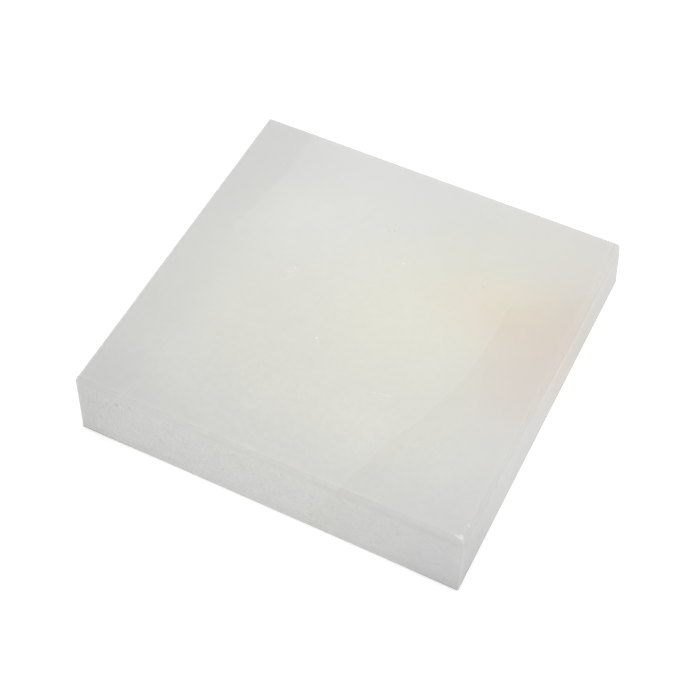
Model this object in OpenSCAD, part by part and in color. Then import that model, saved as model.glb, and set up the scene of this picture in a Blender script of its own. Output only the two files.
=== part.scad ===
// Flat, nearly square block of pale chalk mineral.
// The four sides are sawn a little out of square. A narrow bevel is ground round the top,
// steeper at the front and right, and the front right top corner has lost a small flake.
// The origin is at the centre of the base's bounding box. +Z is up, +X runs to the right
// side and the front side faces -Y.

/* [Block] */
// Width near the top, from the left side to the right side
block_w = 100.3; // [60:0.1:160]
// Depth near the top, from the front side to the back side
block_d = 96.3; // [60:0.1:160]
// Thickness from the base to the honed top
block_h = 17.6; // [12:0.2:40]

/* [Sawn sides] */
// How far the front side flares outwards down to the base
front_flare = 2.3; // [0:0.1:4]
// How far the back side flares outwards down to the base
back_flare = 1.9; // [0:0.1:4]
// How far the right side flares outwards down to the base
right_flare = 0.4; // [0:0.1:4]
// How far the left side is cut back down to the base
left_undercut = 0.9; // [0:0.1:4]

/* [Ground edges] */
// Width and height of the bevel ground along the top's left and back edges
top_bevel = 1.4; // [0.5:0.1:3]
// Width of the steeper bevel along the top's front and right edges
steep_bevel_w = 0.7; // [0.4:0.1:2]
// Height of the steeper bevel along the top's front and right edges
steep_bevel_h = 2.6; // [1:0.1:4]
// Width and height of the fine bevel that takes the sharpness off the base
base_bevel = 0.2; // [0.1:0.1:1]

/* [Flaked corner] */
// How far the missing flake runs along each top edge from the front right corner
flake_reach = 1.2; // [0.5:0.1:3]

/* [Hidden] */
mineral_colour = [0.86, 0.86, 0.83];
half_w = block_w / 2;
half_d = block_d / 2;
// The block's width and depth are measured at this height
arris_h = block_h - top_bevel;
plain_bevel = [top_bevel, top_bevel];
steep_bevel = [steep_bevel_w, steep_bevel_h];
// Each flare is spread over the height from the base to arris_h
front_slope = front_flare / arris_h;
back_slope = back_flare / arris_h;
right_slope = right_flare / arris_h;
left_slope = -left_undercut / arris_h;
// The flares are uneven, so the block is moved to put the box's centre over the origin
low_x = -half_w;
high_x = half_w + right_slope * (arris_h - base_bevel);
low_y = -half_d - front_slope * (arris_h - base_bevel);
high_y = half_d + back_slope * (arris_h - base_bevel);
centre_x = (low_x + high_x) / 2;
centre_y = (low_y + high_y) / 2;
// The profiles run past the block on every side before they are cut to each other
cut_length = 2 * max(block_w, block_d);
flake_cutter = 4 * flake_reach;

// Outline of the block across its thickness. Each slope is how far that side moves
// outwards for each millimetre down from arris_h, and each bevel is a [width, height].
module profile(half_span, low_slope, high_slope, low_bevel, high_bevel) {
    base_drop = arris_h - base_bevel;
    low_drop = low_bevel[1] - top_bevel;
    high_drop = high_bevel[1] - top_bevel;
    polygon([
        [-half_span - low_slope * arris_h + base_bevel, 0],
        [half_span + high_slope * arris_h - base_bevel, 0],
        [half_span + high_slope * base_drop, base_bevel],
        [half_span + high_slope * high_drop, block_h - high_bevel[1]],
        [half_span - high_bevel[0], block_h],
        [-half_span + low_bevel[0], block_h],
        [-half_span - low_slope * low_drop, block_h - low_bevel[1]],
        [-half_span - low_slope * base_drop, base_bevel]
    ]);
}

// The profile seen from the front, run from front to back
module width_cut() {
    rotate([90, 0, 0])
        linear_extrude(height = cut_length, center = true)
            profile(half_w, left_slope, right_slope, plain_bevel, steep_bevel);
}

// The profile seen from the right, run from side to side
module depth_cut() {
    rotate([90, 0, 90])
        linear_extrude(height = cut_length, center = true)
            profile(half_d, front_slope, back_slope, steep_bevel, plain_bevel);
}

// A cube tipped on to its corner, so that one flat face slices off the top corner
module corner_flake() {
    inset = steep_bevel_w + flake_reach / 2;
    translate([half_w - inset, -half_d + inset, block_h])
        rotate([0, 0, -45])
            rotate([0, 35, 0])
                translate([0, -flake_cutter / 2, 0])
                    cube(flake_cutter);
}

module chalk_block() {
    color(mineral_colour)
        translate([-centre_x, -centre_y, 0])
            difference() {
                intersection() {
                    width_cut();
                    depth_cut();
                }
                corner_flake();
            }
}

chalk_block();
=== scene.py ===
"""Looks of a flat, nearly square block of pale chalk mineral.

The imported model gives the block's box. One detailed mesh stands for its CAD node: sawn sides,
a hand-ground bevel round the honed top, worn arrises, chips, pits and scratches, all in
geometry. One procedural material gives the mineral its zones, fissure, stain and grain.
Lengths are in metres and places are in the CAD model's frame, unless a comment says otherwise.
"""

import math
import random

import bpy
import numpy as np
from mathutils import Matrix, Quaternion, Vector, noise
from mathutils.geometry import delaunay_2d_cdt


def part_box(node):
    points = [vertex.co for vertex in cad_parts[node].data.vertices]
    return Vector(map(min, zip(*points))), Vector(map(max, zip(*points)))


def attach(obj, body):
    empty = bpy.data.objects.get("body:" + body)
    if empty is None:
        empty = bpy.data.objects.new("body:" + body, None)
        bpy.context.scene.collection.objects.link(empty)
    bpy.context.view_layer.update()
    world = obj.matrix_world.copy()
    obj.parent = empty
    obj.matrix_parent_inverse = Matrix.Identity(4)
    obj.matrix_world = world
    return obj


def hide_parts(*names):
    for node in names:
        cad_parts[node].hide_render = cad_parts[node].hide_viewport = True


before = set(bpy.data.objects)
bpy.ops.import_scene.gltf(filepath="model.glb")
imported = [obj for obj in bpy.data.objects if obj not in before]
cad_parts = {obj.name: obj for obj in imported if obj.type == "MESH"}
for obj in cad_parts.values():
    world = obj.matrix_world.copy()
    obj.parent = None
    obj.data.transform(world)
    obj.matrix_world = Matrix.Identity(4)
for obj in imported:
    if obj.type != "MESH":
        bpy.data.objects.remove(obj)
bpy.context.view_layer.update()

# ---------------------------------------------------------------- sizes

MM = 0.001
NODE = "chalk_block"
low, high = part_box(NODE)

# The same driving dimensions as the CAD model's
block_w = 100.3 * MM
block_d = 96.3 * MM
front_flare = 2.3 * MM
back_flare = 1.9 * MM
right_flare = 0.4 * MM
left_undercut = 0.9 * MM
top_bevel = 1.4 * MM
base_bevel = 0.2 * MM

block_h = high.z - low.z
arris_h = block_h - top_bevel

# Where each side plane meets the height at which the width and depth are measured
left_x = low.x
right_x = left_x + block_w
front_y = low.y + front_flare * (arris_h - base_bevel) / arris_h
back_y = front_y + block_d
middle_x = (left_x + right_x) / 2
middle_y = (front_y + back_y) / 2

# The four sides in turn, counterclockwise from the front
FRONT, RIGHT, BACK, LEFT = range(4)
OUTWARD = ((0, -1), (1, 0), (0, 1), (-1, 0))

RANDOM = random.Random(20)


def smooth(zero_at, one_at, value):
    """Smoothstep of numbers or arrays: 0 at zero_at and 1 at one_at, which may be the smaller."""
    t = np.clip((value - zero_at) / (one_at - zero_at), 0, 1)
    return t * t * (3 - 2 * t)


def noise_at(points, wavelength, seed, octaves=1):
    """Noise from about -1 to 1 at each point, with its detail about a wavelength across."""
    shift = Vector((seed * 7.3, seed * 3.1, seed * 5.7))
    return np.array(
        [noise.fractal(Vector(p) / wavelength + shift, 1.0, 2.0, octaves) for p in points]
    )


# ---------------------------------------------------------------- camera


camera_azimuth = math.radians(26.88)  # from straight in front, towards the right
camera_elevation = math.radians(53.48)
camera_roll = math.radians(-0.32)
camera_distance = 382.4 * MM
camera_lens = 78.1
camera_target = Vector((left_x + 48.66 * MM, middle_y - 0.83 * MM, 0))


def add_camera():
    """The camera stands about four block widths away, a little to the right and high up."""
    level_share = math.cos(camera_elevation)
    back = Vector(
        (
            math.sin(camera_azimuth) * level_share,
            -math.cos(camera_azimuth) * level_share,
            math.sin(camera_elevation),
        )
    )
    data = bpy.data.cameras.new("camera")
    data.lens = camera_lens
    data.sensor_width = 36
    camera = bpy.data.objects.new("camera", data)
    camera.rotation_mode = "QUATERNION"
    camera.location = camera_target + camera_distance * back
    turn = Quaternion((0, 0, 1), camera_roll)
    camera.rotation_quaternion = (-back).to_track_quat("-Z", "Y") @ turn
    bpy.context.scene.collection.objects.link(camera)
    bpy.context.scene.camera = camera


# ---------------------------------------------------------------- perimeter strip

STEP = 0.4 * MM  # usual distance between points on the sides
FINE = 0.15 * MM  # and beside the corners
CORNER_STEPS = 7  # points round each vertical corner
corner_r = 0.25 * MM  # rounding of the vertical corners
lip_reach = 0.28 * MM  # rounding where the bevel meets the honed top
arris_reach = 0.65 * MM  # and where it meets the side
base_reach = 0.08 * MM  # and at both ends of the fine bevel under the side
flat_rim = 0.35 * MM  # flat part of the top and of the base that belongs to the strip


def run_along(length):
    """Shares from 0 to 1 along a side, closer together near both ends."""
    places, at = [], FINE
    while at < length - FINE / 2:
        places.append(at / length)
        nearest_end = min(at, length - at)
        at += FINE + (STEP - FINE) * float(smooth(0, 4 * MM, nearest_end))
    return np.array(places)


def perimeter():
    """Columns round the block, counterclockwise from the front side's left end. Each has a
    share across x, a share across y and the angle of its outward direction."""
    ends = np.linspace(0, 1, CORNER_STEPS)
    along_x, along_y = run_along(block_w), run_along(block_d)
    parts = []
    for side, along in enumerate((along_x, along_y, along_x, along_y)):
        angle = (side - 1) * math.pi / 2
        share = along if side in (FRONT, RIGHT) else 1 - along
        fixed = np.full(len(along), 1.0 if side in (RIGHT, BACK) else 0.0)
        u, v = (share, fixed) if side in (FRONT, BACK) else (fixed, share)
        parts.append(np.stack([u, v, np.full(len(along), angle)], 1))
        corner_u = np.full(CORNER_STEPS, 1 if side in (FRONT, RIGHT) else 0)
        corner_v = np.full(CORNER_STEPS, 1 if side in (RIGHT, BACK) else 0)
        parts.append(np.stack([corner_u, corner_v, angle + ends * math.pi / 2], 1))
    return np.concatenate(parts)


def bevel_size(columns):
    """Width and height of the hand-ground bevel at each column. It is even at the left and
    back, and steeper at the front and right. The right one deepens towards the back."""
    u, v, angle = columns.T
    front = np.maximum(0, -np.sin(angle)) ** 2
    right = np.maximum(0, np.cos(angle)) ** 2
    rest = 1 - front - right
    # These are in millimetres
    front_w = 0.42 + 0.50 * smooth(0.5, 1, u)
    front_h = 2.0 + 0.7 * smooth(0, 0.6, u)
    right_w = 0.92 - 0.22 * smooth(0, 0.3, v) + 0.55 * smooth(0.8, 1, v)
    right_h = 2.6 + 2.3 * smooth(0.35, 0.70, v) + 0.6 * smooth(0.8, 1, v)
    width = front * front_w + right * right_w + rest * top_bevel / MM
    height = front * front_h + right * right_h + rest * top_bevel / MM
    places = np.stack([left_x + block_w * u, front_y + block_d * v, 0 * u], 1)
    width_wander = noise_at(places, 14 * MM, seed=1, octaves=3)
    waver = noise_at(places, 3 * MM, seed=2, octaves=2)
    width = width * (1 + 0.10 * width_wander) + 0.04 * waver
    height_wander = noise_at(places, 18 * MM, seed=7, octaves=3)
    height = height * (1 + 0.08 * height_wander) + 0.05 * waver
    return width * MM, height * MM


def rounded(points, reaches, counts):
    """Replaces each corner of a polyline of (inset, height) arrays with a short curve. reaches
    says how far each corner's curve goes from it, and counts how many points the curve has. Each
    row comes with the number of the polyline's point that it belongs to."""
    rows = [(0, points[0])]
    for i, (reach, count) in enumerate(zip(reaches, counts), 1):
        before, at, after = points[i - 1], points[i], points[i + 1]
        lead = (before - at) / np.linalg.norm(before - at, axis=-1, keepdims=True)
        tail = (after - at) / np.linalg.norm(after - at, axis=-1, keepdims=True)
        start, end = at + lead * reach, at + tail * reach
        for t in np.linspace(0, 1, count):
            bend = (1 - t) ** 2 * start + 2 * t * (1 - t) * at + t * t * end
            rows.append((i, bend))
    rows.append((len(points) - 1, points[-1]))
    return rows


def side_rows(bevel_w, bevel_h):
    """Rows from the top down to the base, as (inset, height) per column."""
    column_count = len(bevel_w)

    def level(inset, height):
        wide = [np.broadcast_to(value, column_count) for value in (inset, height)]
        return np.stack(wide, 1)

    outline = [
        level(bevel_w + flat_rim, block_h),
        level(bevel_w, block_h),
        level(0, block_h - bevel_h),
        level(0, base_bevel),
        level(base_bevel, 0),
        level(base_bevel + flat_rim, 0),
    ]
    reach = (lip_reach, arris_reach, base_reach, base_reach)
    curve_points = (5, 7, 3, 3)
    bends = rounded(outline, reach, curve_points)
    # How many rows go between one outline point's curve and the next one's
    between = (1, 5, 38, 1, 1)
    rows = []
    for (i, a), (j, b) in zip(bends, bends[1:]):
        rows.append(a)
        count = between[i] if i != j else 0
        rows += [a + (b - a) * k / (count + 1) for k in range(1, count + 1)]
    rows.append(bends[-1][1])
    return np.stack(rows)  # rows, columns, (inset, height)


def place(columns, rows):
    """Points of the strip, as rows x columns x 3, with the sides leaning as the CAD's do."""
    u, v, angle = columns.T
    inset, height = rows[..., 0], rows[..., 1]
    below = np.maximum(arris_h - height, 0) / arris_h
    x_low = left_x + left_undercut * below + inset + corner_r
    x_high = right_x + right_flare * below - inset - corner_r
    y_low = front_y - front_flare * below + inset + corner_r
    y_high = back_y + back_flare * below - inset - corner_r
    x = x_low + (x_high - x_low) * u + corner_r * np.cos(angle)
    y = y_low + (y_high - y_low) * v + corner_r * np.sin(angle)
    return np.stack([x, y, height], -1)


def strip_normals(points):
    """Outward normals of the strip's grid of points."""
    across = np.roll(points, -1, 1) - np.roll(points, 1, 1)
    down = np.gradient(points, axis=0)
    normal = np.cross(down, across)
    return normal / np.linalg.norm(normal, axis=-1, keepdims=True)


# ---------------------------------------------------------------- wear, painted shade and painted highlight

# Scoops that make up the flake at the front right top corner: shift from the corner, outward
# direction, radius and depth in millimetres, and how white the bruised mineral is
CORNER_FLAKE = [
    ((-0.75, 0.35, 0), (0.25, -0.60, 2.6), 2.6, 0.30, 0.50),
    ((-1.40, 0.25, 0), (-0.1, -0.50, 1.8), 1.3, 0.18, 0.42),
    ((-0.15, -0.30, -0.5), (0.5, -0.80, 1.6), 1.1, 0.15, 0.28),
]

# Nicks on the two lips beside that corner: shift from it and radius in millimetres, whiteness
LIP_NICKS = [
    ((-9.5, -0.05, 0), 1.3, 0.40),
    ((-8.3, -0.05, 0), 0.9, 0.30),
    ((-5.2, 0, 0), 0.7, 0.25),
    ((-15.5, -0.1, 0), 0.8, 0.25),
    ((0.05, 4.05, 0), 1.0, 0.35),
    ((0.1, 5.6, 0), 0.7, 0.20),
]

# Place of a nick in the front side, in millimetres
FRONT_NICK_X = -38.7
FRONT_NICK_Z = 13.4

# Usual width and height of each side's bevel in millimetres, in the sides' order
USUAL_BEVELS = ((0.6, 2.5), (0.8, 2.7), (1.4, 1.4), (1.4, 1.4))
EDGE_CHIP_COUNT = 110

# Spheres that scoop chips out of the edges: centre, radius, depth and whiteness
chips = []


def add_chip(at, outward, radius, depth, white):
    """A scoop of a sphere whose surface goes a depth into the block at a point."""
    outward = np.array(outward) / np.linalg.norm(outward)
    chips.append((np.array(at) + outward * (radius - depth), radius, depth, white))


def add_corner_flake():
    """The flake off the front right top corner, and nicks on the two lips that meet there."""
    corner = np.array([right_x - 0.95 * MM, front_y + 0.95 * MM, block_h])
    for shift, outward, radius, depth, white in CORNER_FLAKE:
        add_chip(corner + np.array(shift) * MM, outward, radius * MM, depth * MM, white)
    nick_outward = (0.1, -0.4, 1)
    nick_depth = 0.14 * MM
    for shift, radius, white in LIP_NICKS:
        add_chip(corner + np.array(shift) * MM, nick_outward, radius * MM, nick_depth, white)


def add_front_nick():
    """A nick high on the front side, near its left end."""
    z = FRONT_NICK_Z * MM
    y = front_y - front_flare * (arris_h - z) / arris_h
    add_chip((FRONT_NICK_X * MM, y, z), (0, -1, 0.15), 0.8 * MM, 0.24 * MM, 0)


def add_edge_chips(count):
    """Small chips, spread at random along both edges of the bevel all round."""
    for _ in range(count):
        share = RANDOM.random()
        side = RANDOM.randrange(4)
        on_upper_edge = RANDOM.random() < 0.5
        radius = 0.20 + 0.35 * RANDOM.random() ** 2
        out_x, out_y = OUTWARD[side]
        along = (left_x + block_w * share, front_y + block_d * share)
        at_side = (left_x if side == LEFT else right_x, front_y if side == FRONT else back_y)
        x = along[0] if side in (FRONT, BACK) else at_side[0]
        y = along[1] if side in (RIGHT, LEFT) else at_side[1]
        width, height = USUAL_BEVELS[side]
        inset = width * MM if on_upper_edge else 0
        z = block_h if on_upper_edge else block_h - height * MM
        tilt = 1.6 if on_upper_edge else 0.5
        at = (x - out_x * inset, y - out_y * inset, z)
        add_chip(at, (out_x, out_y, tilt), radius * MM, 0.15 * radius * MM, 0.25)


def scoop(points):
    """Moves points out of the chips' spheres, whose surfaces are uneven. Returns the points and
    how bruised the mineral is at each."""
    moved = points.copy()
    bruise = np.zeros(points.shape[:-1])
    for centre, radius, depth, white in chips:
        away = moved - centre
        far = np.linalg.norm(away, axis=-1)
        inside = far < radius
        if not inside.any():
            continue
        uneven = noise_at(moved[inside], 0.5 * MM, seed=6, octaves=2)
        reach = radius - depth * 0.4 * np.maximum(0, uneven)
        cut = np.maximum(0, reach - far[inside])
        moved[inside] += away[inside] * (cut / far[inside])[:, None]
        bruise[inside] = np.maximum(bruise[inside], white * smooth(0, 0.5 * depth, cut))
    return moved, bruise


def roughen(points, normals, columns, drop):
    """Sawn texture on the sides, and a slight waver on the ground edges. Every move
    is inwards, so that the block stays inside its box. drop is how far down each point is, as a
    share of the bevel's height. Returns the points and how sawn each one is."""
    shape = points.shape[:2]
    flat = points.reshape(-1, 3)
    height = points[..., 2]
    # The front and left sides are left as sawn, and the other two are rubbed smoother
    angle = columns[:, 2]
    rubbed_share = 0.35
    front_left_share = smooth(-0.2, 0.2, np.cos(angle + 3 * math.pi / 4))
    sawn = np.broadcast_to(rubbed_share + (1 - rubbed_share) * front_left_share, shape)
    wall = smooth(1.0, 1.2, drop) * smooth(0, 0.6 * MM, height)
    above_base = smooth(0, 0.4 * MM, height)
    waver = noise_at(flat, 16 * MM, seed=3, octaves=2).reshape(shape)
    grit = noise_at(flat, 1.3 * MM, seed=4, octaves=3).reshape(shape)
    depth = wall * 0.025 * MM * (1 + waver)
    depth = depth + wall * sawn * 0.020 * MM * (1 + grit)
    depth = depth + (1 - wall) * above_base * 0.010 * MM * (1 + grit)
    # The flat rims of the top and the base stay where they are
    on_top = height > block_h - 0.004 * MM
    on_base = height < 0.001 * MM
    depth = np.where(on_top | on_base, 0, np.maximum(depth, 0))
    return points - normals * depth[..., None], wall * sawn


def ground_and_lip_shade(columns, rows, bevel_w, drop):
    """How much darker each point of the strip is painted, from 0 to about 1. The lip is darkest,
    as painted shade over its highlight. The right bevel is darker than the left and back ones,
    and the front one least."""
    facing = columns[:, 2]
    to_right = smooth(0.3, 0.9, np.cos(facing))
    to_front = smooth(0.3, 0.9, -np.sin(facing))
    inwards = (bevel_w - rows[..., 0]) / lip_reach
    lip = (0.85 + 0.20 * to_right - 0.20 * to_front) * smooth(-1.4, -0.4, inwards)
    lip = lip * smooth(0.45, 0.05, drop)
    upper_bevel = (0.45 + 0.33 * to_right - 0.30 * to_front) * smooth(0, 0.2, drop)
    lower_bevel = (0.45 - 0.25 * to_front) * smooth(0.2, 0.65, drop)
    bevel = np.maximum(upper_bevel, lower_bevel) * smooth(1.20, 0.98, drop)
    bevel = bevel * (1 - to_right * smooth(0.45, 0.95, drop))
    return np.maximum(lip, bevel)


def arris_amount(columns, bevel_h, drop):
    """How near each point is to the right side's arris, which is painted pale, as a painted
    highlight and as rubbed wear.
    """
    on_right = smooth(0.6, 0.95, np.cos(columns[:, 2]))
    gap = np.abs(drop - 1.03) * bevel_h
    return smooth(0.75 * MM, 0.10 * MM, gap) * on_right


# ---------------------------------------------------------------- honed top

# The clearest pits and nicks in the top: x and y from its middle, radius and depth, all in
# millimetres, and how white the bruised mineral in each is, below zero where it is darker
TOP_MARKS = [
    (-4.3, -12.8, 0.42, 0.12, 1.5),
    (-3.4, -13.6, 0.26, 0.06, 0.7),
    (-19.1, 4.2, 0.36, 0.06, 1.0),
    (-19.9, 2.4, 0.46, 0.05, 0.40),
    (-19.0, 1.2, 0.50, 0.05, 0.45),
    (-18.3, 2.2, 0.40, 0.05, 0.40),
    (-19.6, -0.3, 0.40, 0.05, 0.35),
    (4.3, 17.3, 0.38, 0.07, 1.1),
    (4.1, 19.1, 0.28, 0.05, 0.7),
    (10.6, 9.5, 0.28, 0.05, 0.9),
    (-2.4, 26.0, 0.44, 0.12, -1.1),
    (-3.4, 25.1, 0.34, 0.08, -0.8),
    (-1.6, 27.2, 0.26, 0.06, -0.7),
    (25.1, 19.3, 0.36, 0.10, -1.1),
    (-24.6, 14.1, 0.28, 0.05, -0.6),
]

# The clearest hairline scratches: start x and y, end x and y and depth in millimetres, whiteness
TOP_SCRATCHES = [
    (12.8, -21.4, 20.4, -19.8, 0.030, 1.0),
    (16.2, -22.4, 19.4, -21.2, 0.020, 0.6),
    (-36.0, 6.0, -37.6, 13.0, 0.015, 0.3),
    (-14.0, -11.0, -11.5, -7.0, 0.015, 0.3),
    (-8.0, -9.0, -3.0, -6.5, 0.015, 0.35),
    (27.0, -32.0, 33.0, -28.0, 0.020, 0.3),
    (6.0, -38.0, 17.0, -35.0, 0.015, 0.25),
    (-28.0, 31.0, -22.0, 36.0, 0.012, 0.2),
]


FAINT_PIT_COUNT = 90
FAINT_SCRATCH_COUNT = 26


def random_marks():
    """Fainter pits and scratches, spread over the top."""
    marks, scratches = [], []
    for _ in range(FAINT_PIT_COUNT):
        x, y = (RANDOM.uniform(-46, 46), RANDOM.uniform(-44, 44))
        radius = RANDOM.uniform(0.12, 0.26)
        marks.append((x, y, radius, radius * 0.22, RANDOM.choice((-0.3, 0.25, 0.4))))
    for _ in range(FAINT_SCRATCH_COUNT):
        x, y = (RANDOM.uniform(-44, 44), RANDOM.uniform(-42, 42))
        turn, length = RANDOM.gauss(0.5, 0.5), RANDOM.uniform(2, 9)
        end = (x + length * math.cos(turn), y + length * math.sin(turn))
        scratches.append((x, y, *end, 0.010, RANDOM.uniform(0.08, 0.2)))
    return marks, scratches


def grid(x_range, y_range, step):
    """Staggered points over a rectangle, about evenly far from each other."""
    row_gap = 0.87 * step
    rows = np.arange(y_range[0], y_range[1], row_gap)
    points = []
    for i, y in enumerate(rows):
        xs = np.arange(x_range[0] + step * 0.5 * (i % 2), x_range[1], step)
        points += [(x, y) for x in xs]
    return points


# Steps of the grid that fills the top and the base, each with how near to the ring and how far
# from it that step is used, in millimetres
FILL_STEPS = ((0.4, 0.25, 1.4), (0.8, 1.4, 3.5), (1.6, 3.5, math.inf))


def fill(ring, extra_points, clear):
    """Triangles inside a ring of points, fine beside it and coarse in the middle, with the extra
    points and with no grid points in the clear circles. Returns the 2-D points, the triangles,
    and for each point its number in the ring, or -1."""
    (x0, y0), (x1, y1) = ring.min(0), ring.max(0)
    inner = []
    for step, near, far in FILL_STEPS:
        for x, y in grid((x0, x1), (y0, y1), step * MM):
            gap = min(x - x0, x1 - x, y - y0, y1 - y) / MM
            if near <= gap < far:
                inner.append((x, y))
    kept = np.array(inner)
    for x, y, reach in clear:
        kept = kept[np.hypot(kept[:, 0] - x, kept[:, 1] - y) > reach]
    points = [Vector(p) for p in (*ring, *kept, *extra_points)]
    loop = [list(range(len(ring)))]
    places, _, faces, origins, _, _ = delaunay_2d_cdt(points, [], loop, 1, 1e-9)
    number = [min((k for k in o if k < len(ring)), default=-1) for o in origins]
    return np.array([tuple(p) for p in places]), faces, number


# Rings of points that hold a pit's shape: how many points, and their share of its radius
MARK_RINGS = ((6, 0.4), (9, 0.75), (12, 1.1))


def mark_points(marks, scratches):
    """Extra points that hold the shape of each mark, and the circles kept clear for them."""
    points, clear = [], []
    for x, y, radius, _, _ in marks:
        x, y, radius = middle_x + x * MM, middle_y + y * MM, radius * MM
        points.append((x, y))
        for count, share in MARK_RINGS:
            for k in range(count):
                turn = 2 * math.pi * (k + 0.37 * count) / count
                reach = share * radius
                points.append((x + reach * math.cos(turn), y + reach * math.sin(turn)))
        clear.append((x, y, radius * 1.3))
    # A fine patch beside the flaked corner
    corner_x, corner_y = right_x - 1.6 * MM, front_y + 1.6 * MM
    points += grid((corner_x - 2.4 * MM, corner_x), (corner_y, corner_y + 2 * MM), 0.16 * MM)
    clear.append((corner_x - 0.9 * MM, corner_y + 0.9 * MM, 1.7 * MM))
    for x0, y0, x1, y1, _, _ in scratches:
        start = np.array([middle_x + x0 * MM, middle_y + y0 * MM])
        end = np.array([middle_x + x1 * MM, middle_y + y1 * MM])
        length = np.linalg.norm(end - start)
        along = (end - start) / length
        across = np.array([-along[1], along[0]])
        count = max(3, int(length / (0.5 * MM)))
        for k in range(count + 1):
            at = start + along * length * k / count
            points += [tuple(at + across * side * 0.09 * MM) for side in (-1, 0, 1)]
            clear.append((at[0], at[1], 0.16 * MM))
    return points, clear


def top_relief(places, marks, scratches):
    """How deep each point of the top lies, and how bruised the mineral is there."""
    depth, bruise = np.zeros(len(places)), np.zeros(len(places))
    for x, y, radius, deep, white in marks:
        gap = np.hypot(places[:, 0] - middle_x - x * MM, places[:, 1] - middle_y - y * MM)
        bowl = smooth(radius * MM, 0.2 * radius * MM, gap)
        depth += deep * MM * bowl
        bruise += white * bowl
    for x0, y0, x1, y1, deep, white in scratches:
        start = np.array([middle_x + x0 * MM, middle_y + y0 * MM])
        run = np.array([x1 - x0, y1 - y0]) * MM
        share = np.clip(((places - start) @ run) / (run @ run), 0, 1)
        gap = np.linalg.norm(places - start - share[:, None] * run, axis=1)
        fading_ends = smooth(0, 0.25, share) * smooth(1, 0.75, share)
        groove = smooth(0.08 * MM, 0.02 * MM, gap) * fading_ends
        depth += deep * MM * groove
        bruise += white * groove
    return depth, bruise


# ---------------------------------------------------------------- block

SAWN_BASE = 0.6  # how sawn the base is, from 0, honed, to 1


def strip_faces(row_count, column_count):
    """Four-sided faces of the strip's grid of points, which closes round the block."""
    faces = []
    for i in range(row_count - 1):
        for k in range(column_count):
            after = (k + 1) % column_count
            a, b = i * column_count + k, i * column_count + after
            faces.append((a, a + column_count, b + column_count, b))
    return faces


def add_flat_face(vertices, faces, wear_and_painted_light, ring, marks=None):
    """Fills a ring of the strip's points, given by their numbers. With marks, a pair of pits and
    scratches, the face is the worn top. Without, it is the base, which faces down."""
    outline = np.array([vertices[k][:2] for k in ring])
    height = block_h if marks else 0
    extra_points, clear = mark_points(*marks) if marks else ([], [])
    places, triangles, number = fill(outline, extra_points, clear)
    depth, bruise = top_relief(places, *(marks or ([], [])))
    shaped = np.column_stack([places, height - depth])
    if marks:
        shaped, chipped = scoop(shaped)
        bruise = bruise + chipped
    # Points that the wavy ring leaves outside belong to no triangle and are dropped
    used = {k for triangle in triangles for k in triangle}
    index = {}
    for k, at in enumerate(number):
        if at >= 0:
            index[k] = ring[at]
        elif k in used:
            index[k] = len(vertices)
            vertices.append(shaped[k].tolist())
            wear_and_painted_light["sawn"].append(0 if marks else SAWN_BASE)
            wear_and_painted_light["ground"].append(0)
            wear_and_painted_light["edge"].append(0)
            wear_and_painted_light["bruise"].append(float(bruise[k]))
    for a, b, c in triangles:
        faces.append((index[a], index[b], index[c]) if marks else (index[a], index[c], index[b]))


def build_block():
    """The whole block as one closed mesh, with the wear and the painted shade and highlight that
    each point has as attributes.
    """
    columns = perimeter()
    bevel_w, bevel_h = bevel_size(columns)
    rows = side_rows(bevel_w, bevel_h)
    drop = (block_h - rows[..., 1]) / bevel_h
    points = place(columns, rows)
    points, sawn = roughen(points, strip_normals(points), columns, drop)
    add_corner_flake()
    add_front_nick()
    add_edge_chips(EDGE_CHIP_COUNT)
    points, chipped = scoop(points)
    points[..., 2] = np.maximum(points[..., 2], 0)
    points[0, :, 2] = np.minimum(points[0, :, 2], block_h)

    row_count, column_count = points.shape[:2]
    vertices = points.reshape(-1, 3).tolist()
    faces = strip_faces(row_count, column_count)
    wear_and_painted_light = {
        "sawn": sawn,
        "ground": ground_and_lip_shade(columns, rows, bevel_w, drop),
        "edge": arris_amount(columns, bevel_h, drop),
        "bruise": chipped,
    }
    wear_and_painted_light = {name: amount.reshape(-1).tolist() for name, amount in wear_and_painted_light.items()}

    faint_marks, faint_scratches = random_marks()
    marks = (TOP_MARKS + faint_marks, TOP_SCRATCHES + faint_scratches)
    last_row = (row_count - 1) * column_count
    add_flat_face(vertices, faces, wear_and_painted_light, range(column_count), marks)
    add_flat_face(vertices, faces, wear_and_painted_light, range(last_row, last_row + column_count))

    mesh = bpy.data.meshes.new("mineral_block")
    mesh.from_pydata(vertices, [], faces)
    mesh.update()
    for name, values in wear_and_painted_light.items():
        layer = mesh.attributes.new(name, "FLOAT", "POINT")
        layer.data.foreach_set("value", np.array(values, dtype=np.float32))
    mesh.polygons.foreach_set("use_smooth", [True] * len(mesh.polygons))
    block = bpy.data.objects.new("mineral_block", mesh)
    bpy.context.scene.collection.objects.link(block)
    return block


# ---------------------------------------------------------------- material


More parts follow.
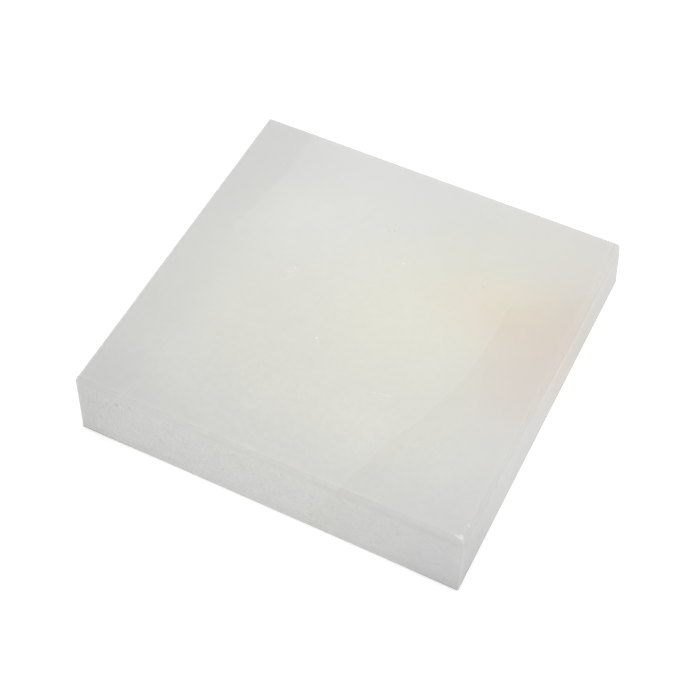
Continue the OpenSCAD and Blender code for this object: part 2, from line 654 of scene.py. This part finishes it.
class Value:
    """A number that a shader's nodes work out at each point, with Python's own operators."""

    def __init__(self, tree, socket):
        self.tree = tree
        self.socket = socket

    def make(self, operation, *inputs):
        node = self.tree.nodes.new("ShaderNodeMath")
        node.operation = operation
        for place_in, given in zip(node.inputs, inputs):
            connect(self.tree, given, place_in)
        return Value(self.tree, node.outputs[0])

    def __add__(self, other):
        return self.make("ADD", self, other)

    __radd__ = __add__

    def __sub__(self, other):
        return self.make("SUBTRACT", self, other)

    def __rsub__(self, other):
        return self.make("SUBTRACT", other, self)

    def __mul__(self, other):
        return self.make("MULTIPLY", self, other)

    __rmul__ = __mul__

    def __truediv__(self, other):
        return self.make("DIVIDE", self, other)

    def absolute(self):
        return self.make("ABSOLUTE", self)

    def root(self):
        return self.make("SQRT", self)

    def at_least(self, other):
        return self.make("MAXIMUM", self, other)

    def ramp(self, zero_at, one_at):
        """Smoothstep of this number: 0 at zero_at and 1 at one_at, which may be the smaller."""
        node = self.tree.nodes.new("ShaderNodeMapRange")
        node.interpolation_type = "SMOOTHSTEP"
        rising = one_at > zero_at
        bounds = (zero_at, one_at) if rising else (one_at, zero_at)
        ends = (0, 1) if rising else (1, 0)
        connect(self.tree, self, node.inputs["Value"])
        for name, number in zip(("From Min", "From Max", "To Min", "To Max"), (*bounds, *ends)):
            node.inputs[name].default_value = number
        return Value(self.tree, node.outputs["Result"])


def connect(tree, given, socket):
    """Links a Value or an output to an input, or sets the input to a plain number."""
    if isinstance(given, Value):
        tree.links.new(given.socket, socket)
    elif isinstance(given, bpy.types.NodeSocket):
        tree.links.new(given, socket)
    else:
        socket.default_value = given


def noise_value(tree, vector, wavelength, detail=2.0, distortion=0.0):
    """Noise from 0 to 1, at coordinates in millimetres."""
    node = tree.nodes.new("ShaderNodeTexNoise")
    connect(tree, vector, node.inputs["Vector"])
    node.inputs["Scale"].default_value = 1 / wavelength
    node.inputs["Detail"].default_value = detail
    node.inputs["Distortion"].default_value = distortion
    return Value(tree, node.outputs["Fac"])


def pit_value(tree, vector, spacing, radius, share):
    """1 inside small round pits and 0 outside. Only a share of the cells has a pit."""
    node = tree.nodes.new("ShaderNodeTexVoronoi")
    connect(tree, vector, node.inputs["Vector"])
    node.inputs["Scale"].default_value = 1 / spacing
    parts = tree.nodes.new("ShaderNodeSeparateColor")
    connect(tree, node.outputs["Color"], parts.inputs[0])
    chosen = Value(tree, parts.outputs[0]).ramp(share + 0.01, share - 0.01)
    reach = radius / spacing
    return Value(tree, node.outputs["Distance"]).ramp(reach, reach * 0.45) * chosen


def attribute(tree, name):
    node = tree.nodes.new("ShaderNodeAttribute")
    node.attribute_name = name
    return Value(tree, node.outputs["Fac"])


def distance_to(x, y, centre, radii):
    """How far a point is from an ellipse's centre, as a share of its radii."""
    across = (x - centre[0]) / radii[0]
    along = (y - centre[1]) / radii[1]
    return (across * across + along * along).root()


class Paint:
    """The mineral's colour at each point, which is changed step by step."""

    def __init__(self, tree, colour):
        self.tree = tree
        self.colour = colour

    def cover(self, share, colour, blend="MIX"):
        """Goes a share of the way to another colour."""
        node = self.tree.nodes.new("ShaderNodeMix")
        node.data_type = "RGBA"
        node.blend_type = blend
        node.clamp_factor = True
        connect(self.tree, share, node.inputs["Factor"])
        connect(self.tree, self.colour, node.inputs["A"])
        connect(self.tree, (*colour, 1), node.inputs["B"])
        self.colour = node.outputs["Result"]

    def tint(self, share, colour):
        """Goes a share of the way to the product with another colour."""
        self.cover(share, colour, "MULTIPLY")

    def scale(self, amount):
        """Multiplies the colour by a number."""
        node = self.tree.nodes.new("ShaderNodeVectorMath")
        node.operation = "SCALE"
        connect(self.tree, self.colour, node.inputs[0])
        connect(self.tree, amount, node.inputs["Scale"])
        self.colour = node.outputs[0]

    def darken(self, share):
        self.scale(1 - share)

    def lighten(self, share):
        self.scale(1 + share)


# Colours are linear red, green and blue. The zones, tints and patches are soft ellipses that are
# fixed in the mineral: centre x and y and radii are in millimetres from the block's middle.
PALE = (0.700, 0.700, 0.685)
ARRIS_SHEEN_AND_RUB = (0.80, 0.80, 0.79)
BRUISED = (0.88, 0.88, 0.87)
DARK_SPECK = (0.42, 0.42, 0.40)

# Zones, which cover the pale mineral in turn: centre, radii, how much at the centre, colour
ZONES = [
    ((-20, 22), (36, 32), 0.62, (0.745, 0.752, 0.722)),  # misty
    ((12, 6), (40, 36), 0.72, (0.765, 0.765, 0.700)),  # cream
    ((31, 14), (24, 20), 0.65, (0.760, 0.735, 0.640)),  # gold
    ((47, 11), (24, 25), 0.60, (0.698, 0.622, 0.558)),  # peach
    ((44, -6), (15, 15), 0.50, (0.700, 0.655, 0.620)),  # rose
]

# Tints over the zones: centre, radii, share of the radii where the tint is full, colour. The
# straw tint is apart because the mottle follows it too.
STRAW = ((0, -8), (60, 50), 0.35, (1, 1, 0.945))
TINTS = [
    ((32, 28), (34, 28), 0.20, (1, 0.998, 0.945)),  # amber
    ((42, 10), (24, 36), 0.30, (1.0, 0.975, 0.97)),  # blush
    ((22, 14), (17, 17), 0, (1, 0.972, 1)),  # fawn
    ((-12, 12), (30, 26), 0, (1, 1, 1.028)),  # milky
]

# Lighter patches, and darker ones below zero: centre, radii, how much at the centre
PATCHES = [
    ((16, -32), (15, 15), 0.026),
    ((-19, -28), (17, 15), -0.020),
    ((-31, 36), (16, 18), -0.030),
]

# How much darker the two near sides are painted than the top, as painted shade: an amount for the
# whole side, then what is added along it, as where it starts and is full, in millimetres from the
# middle, and how much
FRONT_SHADE = 0.058
FRONT_SHADE_ALONG = [(22, 50, 0.026), (8, 24, 0.010), (-34, -50, 0.028), (5, -14, -0.016)]
FRONT_SHADE_UPPER = (10, 15, -0.020)  # the same, up the side
RIGHT_SHADE = 0.078
RIGHT_SHADE_ALONG = [(2, -16, 0.030), (-22, -50, 0.070), (14, 26, 0.026), (30, 48, 0.020)]


def mineral():
    """Pale mineral that light goes a little way into, with zones, a fissure and a stain."""
    material = bpy.data.materials.new("chalk_mineral")
    material.use_nodes = True
    tree = material.node_tree
    shader = tree.nodes["Principled BSDF"]

    # Coordinates in millimetres: x and y from the middle of the block, z from its base
    coordinates = tree.nodes.new("ShaderNodeTexCoord")
    scaled = tree.nodes.new("ShaderNodeVectorMath")
    scaled.operation = "SCALE"
    connect(tree, coordinates.outputs["Object"], scaled.inputs[0])
    scaled.inputs["Scale"].default_value = 1 / MM
    at = scaled.outputs[0]
    parts = tree.nodes.new("ShaderNodeSeparateXYZ")
    connect(tree, at, parts.inputs[0])
    x, y, z = (Value(tree, parts.outputs[name]) for name in "XYZ")

    # The zones lean and wander as they go down through the block
    depth = block_h / MM - z
    wander = noise_value(tree, at, 11, detail=3) - 0.5
    shiver = noise_value(tree, at, 1.6, detail=2) - 0.5
    x_in = x + depth * 0.45 + wander * 2.4 + shiver * 0.35
    y_in = y - depth * 0.25 + wander * 1.6

    def inside(centre, radii, full_at=0):
        """1 at an ellipse's centre, or as far as a share of its radii, and 0 at its rim."""
        return distance_to(x_in, y_in, centre, radii).ramp(1, full_at)

    paint = Paint(tree, (*PALE, 1))
    for centre, radii, amount, colour in ZONES:
        paint.cover(inside(centre, radii) * amount, colour)
    straw = inside(*STRAW[:3])
    paint.tint(straw, STRAW[3])
    for centre, radii, full_at, colour in TINTS:
        paint.tint(inside(centre, radii, full_at), colour)
    for centre, radii, amount in PATCHES:
        paint.lighten(inside(centre, radii) * amount)

    paint_fissure(paint, x_in, y_in)
    paint_left_band(paint, x_in, y_in, noise_value(tree, at, 3.2, detail=2) - 0.5)

    # Softer differences in lightness and tint, from side to side and from corner to corner
    paint.darken((x_in + y_in).ramp(-34, -84) * 0.055)
    paint.darken(x_in.ramp(34, 50) * 0.018)
    paint.darken(y_in.ramp(-26, -50) * 0.069)
    paint.darken((x - y).ramp(50, 92) * 0.026)
    paint.tint((x + y).ramp(60, 94), (0.994, 0.972, 0.962))
    paint.tint((x - y).ramp(60, 95), (1, 1, 1.03))
    paint.tint((x - y).ramp(35, 60) * z.ramp(9, 16), (1, 0.998, 0.991))

    # Clouds, mottle, grain and pits
    sawn, ground = attribute(tree, "sawn"), attribute(tree, "ground")
    edge, bruise = attribute(tree, "edge"), attribute(tree, "bruise")
    clouds = noise_value(tree, at, 7, detail=4, distortion=0.6)
    patches = noise_value(tree, at, 3.5, detail=3)
    mottle = noise_value(tree, at, 1.5, detail=2)
    grain = noise_value(tree, at, 0.48, detail=3)
    coarse = sawn * (1 - x.ramp(-5, 38) * 0.4) * (0.55 + patches * 0.9)
    big_pits = pit_value(tree, at, spacing=2.1, radius=0.36, share=0.30)
    small_pits = pit_value(tree, at, spacing=1.15, radius=0.36, share=0.60)
    pits = (big_pits + small_pits * 0.32) * coarse
    rubbed = distance_to(x, y, (-19.1, 2.0), (1.7, 4.2)).ramp(1, 0.2)
    paint.scale(0.985 + clouds * 0.030)
    paint.lighten((mottle - 0.5) * (straw * 0.042 + y.ramp(-15, -35) * 0.055))
    paint.lighten(rubbed * mottle * 0.040)
    paint.lighten((grain - 0.5) * (0.03 + coarse * 0.28))
    paint.lighten((patches - 0.5) * sawn * 0.07)
    # Pits are painted darker, as painted shade in their hollows
    paint.darken(pits * 0.14)

    # Painted shade low on the sides, and a painted contact shadow along the front's foot
    paint_low_shade(paint, x, y, z)
    # The bevel is painted darker, and the lip darker still as painted shade over its highlight
    paint.darken(ground * 0.095)
    # Painted shade on the front and right sides, and a painted shadow and glint at the front nick
    paint_near_side_shade(paint, x, y, z)
    paint.scale(0.955)
    # Pale mineral painted in patches along the right arris: a painted highlight, and rubbed wear
    arris_sheen_and_rub = edge * patches.ramp(0.30, 0.75) * (0.26 + y.ramp(-8, 12) * 0.12)
    paint.cover(arris_sheen_and_rub, ARRIS_SHEEN_AND_RUB)
    paint.cover(bruise.ramp(0, 1.0) * 0.85, BRUISED)
    paint.cover((bruise * -1).ramp(0, 1.2) * 0.35, DARK_SPECK)
    connect(tree, paint.colour, shader.inputs["Base Color"])

    smudge = noise_value(tree, at, 9, detail=3)
    rough = 0.40 + smudge * 0.10 + ground * 0.25 + sawn * 0.28 + edge * 0.1
    connect(tree, rough, shader.inputs["Roughness"])
    shader.inputs["IOR"].default_value = 1.52
    shader.inputs["Specular IOR Level"].default_value = 0.45
    shader.inputs["Subsurface Weight"].default_value = 0.45
    shader.inputs["Subsurface Radius"].default_value = (1.0, 0.93, 0.80)
    shader.inputs["Subsurface Scale"].default_value = 2.2 * MM
    shader.inputs["Subsurface Anisotropy"].default_value = 0.2

    # Fine relief in millimetres: hone marks on the top, and grit and pits on the sides
    hone = tree.nodes.new("ShaderNodeMapping")
    connect(tree, at, hone.inputs["Vector"])
    hone.inputs["Rotation"].default_value = (0, 0, 0.5)
    hone.inputs["Scale"].default_value = (0.15, 2.4, 2.4)
    hone_marks = noise_value(tree, hone.outputs[0], 1, detail=3)
    relief = hone_marks * (0.0025 - sawn * 0.0020) + grain * (0.002 + sawn * 0.030) - pits * 0.05
    bump = tree.nodes.new("ShaderNodeBump")
    connect(tree, relief, bump.inputs["Height"])
    bump.inputs["Distance"].default_value = MM
    bump.inputs["Strength"].default_value = 1
    connect(tree, bump.outputs[0], shader.inputs["Normal"])
    return material


def paint_fissure(paint, x_in, y_in):
    """A fissure from front to back, as a slow curve with a kink. The mineral right of it is
    darker, as far as a second, shorter crack near the right side."""
    kink = y_in.ramp(-23, -31) * y_in.ramp(-41, -33) * 0.9
    from_fissure = x_in - (32.6 - y_in.ramp(4, -66) * 16.4 - kink)
    from_crack = y_in - (16.5 + (x_in - 34) * 0.82)
    right_of = from_fissure.ramp(-0.1, 0.5)
    dark_zone = right_of * from_crack.ramp(0.5, -0.3) * (0.55 + from_fissure.ramp(9, 0) * 0.45)
    paint.darken(dark_zone * 0.023)
    paint.tint(dark_zone, (1, 0.998, 0.985))
    line = from_fissure.absolute().ramp(0.55, 0) * y_in.ramp(24, 12)
    paint.lighten(line * 0.012)


def paint_left_band(paint, x_in, y_in, ragged):
    """A duller band along the left side, with a ragged border, and a thin pale curve near the
    front left."""
    border = x_in - (-36 - (y_in - 46).ramp(-12, -40) * 4) + ragged * 3.2
    paint.darken(border.ramp(0.7, -0.7) * y_in.ramp(-8, 22) * 0.034)
    paint.darken(x_in.ramp(-26, -48) * 0.062)
    from_curve = distance_to(x_in, y_in, (-12, -54), (26.5, 26.5)) - 1
    ends = y_in.ramp(-33, -38) * x_in.ramp(-24, -30)
    paint.lighten(from_curve.absolute().ramp(0.02, 0) * ends * 0.024)


def paint_low_shade(paint, x, y, z):
    """Painted shade low down on the sides, most at the front's foot and at the near vertical
    corner: darker towards the base, with a painted contact shadow along the front's foot.
    """
    # A painted contact shadow along the front's foot, near both ends of it
    foot = z.ramp(0.55, 0.25) * y.ramp(-46, -49)
    foot = foot * (x.ramp(-26, -46) + x.ramp(32, 48) * 0.7)
    # Painted shade towards the base, and low at the near vertical corner
    low_down = z.ramp(4.5, 0) * (0.040 - x.ramp(49.2, 49.8) * 0.022)
    near_corner = (x - y).ramp(80, 100) * (z.ramp(11, 0) * 0.070 + z.ramp(2.5, 0.3) * 0.020)
    paint.darken(low_down + foot * 0.60 + near_corner)


def paint_near_side_shade(paint, x, y, z):
    """The front and right sides are painted darker than the honed top, as painted shade, each by
    its own amounts along it, with more painted shade along the near vertical edge. The front also
    has a nick, with a painted shadow on its left and a painted glint on its right."""
    below_arris = (arris_h / MM - z).at_least(0)
    front_gap = y - front_y / MM + below_arris * (front_flare / arris_h)
    front_side = front_gap.ramp(0.9, 0.1)
    right_side = x.ramp(49.55, 49.85) * (1 - front_side)
    front_shade = FRONT_SHADE
    for zero_at, one_at, amount in FRONT_SHADE_ALONG:
        front_shade = front_shade + x.ramp(zero_at, one_at) * amount
    front_shade = front_shade + z.ramp(*FRONT_SHADE_UPPER[:2]) * FRONT_SHADE_UPPER[2]
    paint.darken(front_side * front_shade)
    right_shade = RIGHT_SHADE
    for zero_at, one_at, amount in RIGHT_SHADE_ALONG:
        right_shade = right_shade + y.ramp(zero_at, one_at) * amount
    paint.darken(right_side * right_shade)
    # Painted shade along the near vertical edge
    near_edge = front_gap.ramp(0.8, 0.15) * x.ramp(49.4, 49.85)
    paint.darken(near_edge * 0.075)
    # A painted shadow and a painted glint beside the front nick
    shadow = distance_to(x, z, (FRONT_NICK_X - 0.4, FRONT_NICK_Z), (0.75, 1.0)).ramp(1, 0.4)
    glint = distance_to(x, z, (FRONT_NICK_X + 0.6, FRONT_NICK_Z + 0.1), (0.45, 0.5)).ramp(1, 0.4)
    paint.lighten(front_side * (glint * 0.16 - shadow * 0.10))


# ---------------------------------------------------------------- stage and light


FLOOR_HALF = 3.0
FLOOR_Z = -0.03 * MM  # just under the base, so that the two don't lie in one plane


def add_floor():
    """A plain pale floor, lit a little from within so that the block's shadow stays faint."""
    mesh = bpy.data.meshes.new("floor")
    corners = [
        (-FLOOR_HALF, -FLOOR_HALF, FLOOR_Z),
        (FLOOR_HALF, -FLOOR_HALF, FLOOR_Z),
        (FLOOR_HALF, FLOOR_HALF, FLOOR_Z),
        (-FLOOR_HALF, FLOOR_HALF, FLOOR_Z),
    ]
    mesh.from_pydata(corners, [], [(0, 1, 2, 3)])
    floor = bpy.data.objects.new("floor", mesh)
    bpy.context.scene.collection.objects.link(floor)
    material = bpy.data.materials.new("floor")
    material.use_nodes = True
    shader = material.node_tree.nodes["Principled BSDF"]
    shader.inputs["Base Color"].default_value = (0.86, 0.86, 0.86, 1)
    shader.inputs["Roughness"].default_value = 0.9
    shader.inputs["Specular IOR Level"].default_value = 0.1
    shader.inputs["Emission Color"].default_value = (1, 1, 1, 1)
    shader.inputs["Emission Strength"].default_value = 0.29
    mesh.materials.append(material)


def add_light(name, place_at, size, power):
    """A square soft light that faces the block."""
    data = bpy.data.lights.new(name, "AREA")
    data.shape = "SQUARE"
    data.size = size
    data.energy = power
    light = bpy.data.objects.new(name, data)
    light.location = place_at
    light.rotation_mode = "QUATERNION"
    light.rotation_quaternion = (-Vector(place_at)).to_track_quat("-Z", "Y")
    bpy.context.scene.collection.objects.link(light)


def add_lights():
    """A bright room all round, and one large soft light above, behind and to the right."""
    world = bpy.data.worlds.new("room")
    bpy.context.scene.world = world
    world.use_nodes = True
    background = world.node_tree.nodes["Background"]
    background.inputs["Color"].default_value = (1, 1, 1, 1)
    background.inputs["Strength"].default_value = 1.0
    add_light("soft_light", (0.10, 0.35, 0.85), size=0.6, power=0.8)
    view = bpy.context.scene.view_settings
    view.view_transform = "Standard"
    view.look = "None"


# ---------------------------------------------------------------- scene

add_camera()
add_floor()
add_lights()
block = build_block()
block.data.materials.append(mineral())
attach(block, "root")
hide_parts(NODE)
